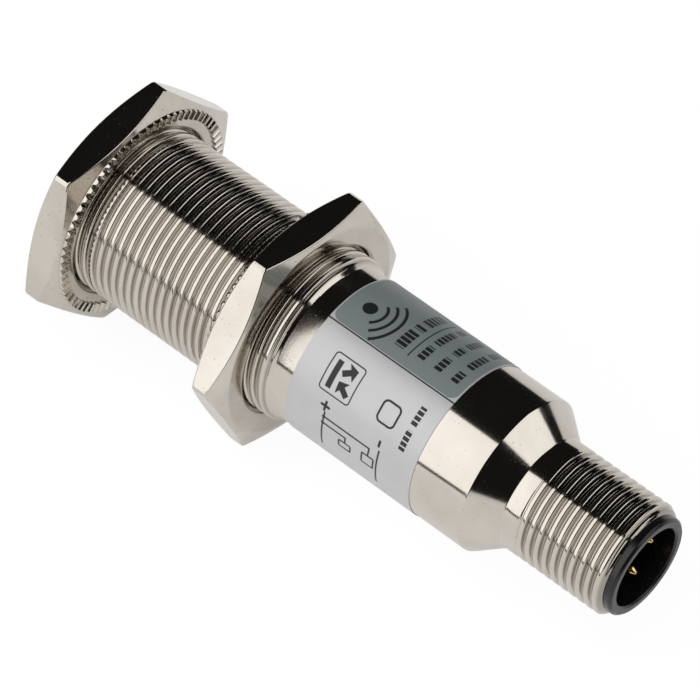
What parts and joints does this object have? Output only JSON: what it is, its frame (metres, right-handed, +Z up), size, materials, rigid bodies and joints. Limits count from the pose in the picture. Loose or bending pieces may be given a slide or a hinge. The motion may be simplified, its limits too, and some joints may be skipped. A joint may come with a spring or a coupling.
{
  "type": "cylindrical proximity sensor",
  "caption": "Cylindrical diffuse photoelectric proximity sensor: threaded metal barrel, toothed clamping nuts, printed label and threaded round plug connector.",
  "frame": {"origin": "centre of the flat sensing face at the front of the barrel", "axes": "+X along the barrel from the sensing face to the plug, +Z up with the barrel lying level"},
  "size_m": [0.0683, 0.0274, 0.0258],
  "materials": {
    "nickel_plated_brass": "bright nickel plate on turned brass",
    "nickel_plated_nut": "bright nickel plate on brass, with fine tool marks",
    "printed_film": "two-tone silver grey printed film, satin",
    "clear_lens": "dark red tinted acrylic, polished",
    "seal_rubber": "smooth nitrile rubber",
    "black_moulding": "black glass-filled nylon, fine satin",
    "diode_epoxy": "tinted clear epoxy",
    "board_laminate": "green solder mask on glass laminate",
    "chip_epoxy": "black moulded epoxy",
    "capacitor_ceramic": "fired tan ceramic",
    "tinned_metal": "tinned",
    "sleeve_film": "natural polyester film",
    "wire_insulation": "coloured lead insulation",
    "potting_resin": "cast black resin",
    "gold_plate": "gold plate"
  },
  "bodies": {
    "sensor": {"barrel_housing": "nickel_plated_brass", "rating_label": "printed_film", "lens_window": "clear_lens", "lens_seal": "seal_rubber", "optics_holder": "black_moulding", "emitter_led": "diode_epoxy", "receiver_photodiode": "diode_epoxy", "optics_board": "board_laminate", "main_board": "board_laminate", "controller_chip": "chip_epoxy", "output_transistors": "chip_epoxy", "voltage_regulator": "chip_epoxy", "suppressor_diodes": "chip_epoxy", "capacitors": "capacitor_ceramic", "resistors": "chip_epoxy", "board_link_pins": "tinned_metal", "insulating_sleeve": "sleeve_film", "connector_wires": "wire_insulation", "wire_posts": "tinned_metal", "potting_plug": "potting_resin", "contact_carrier": "black_moulding", "carrier_seal": "seal_rubber", "contact_pins": "gold_plate"},
    "front_clamp": {"front_nut": "nickel_plated_nut"},
    "rear_clamp": {"rear_nut": "nickel_plated_nut"}
  },
  "joints": [
    {"name": "front_nut_travel", "type": "slide", "parent": "sensor", "child": "front_clamp", "axis": [1, 0, 0], "range_m": [-0.001, 0.0087]},
    {"name": "rear_nut_travel", "type": "slide", "parent": "sensor", "child": "rear_clamp", "axis": [1, 0, 0], "range_m": [-0.0087, 0.0024]}
  ]
}
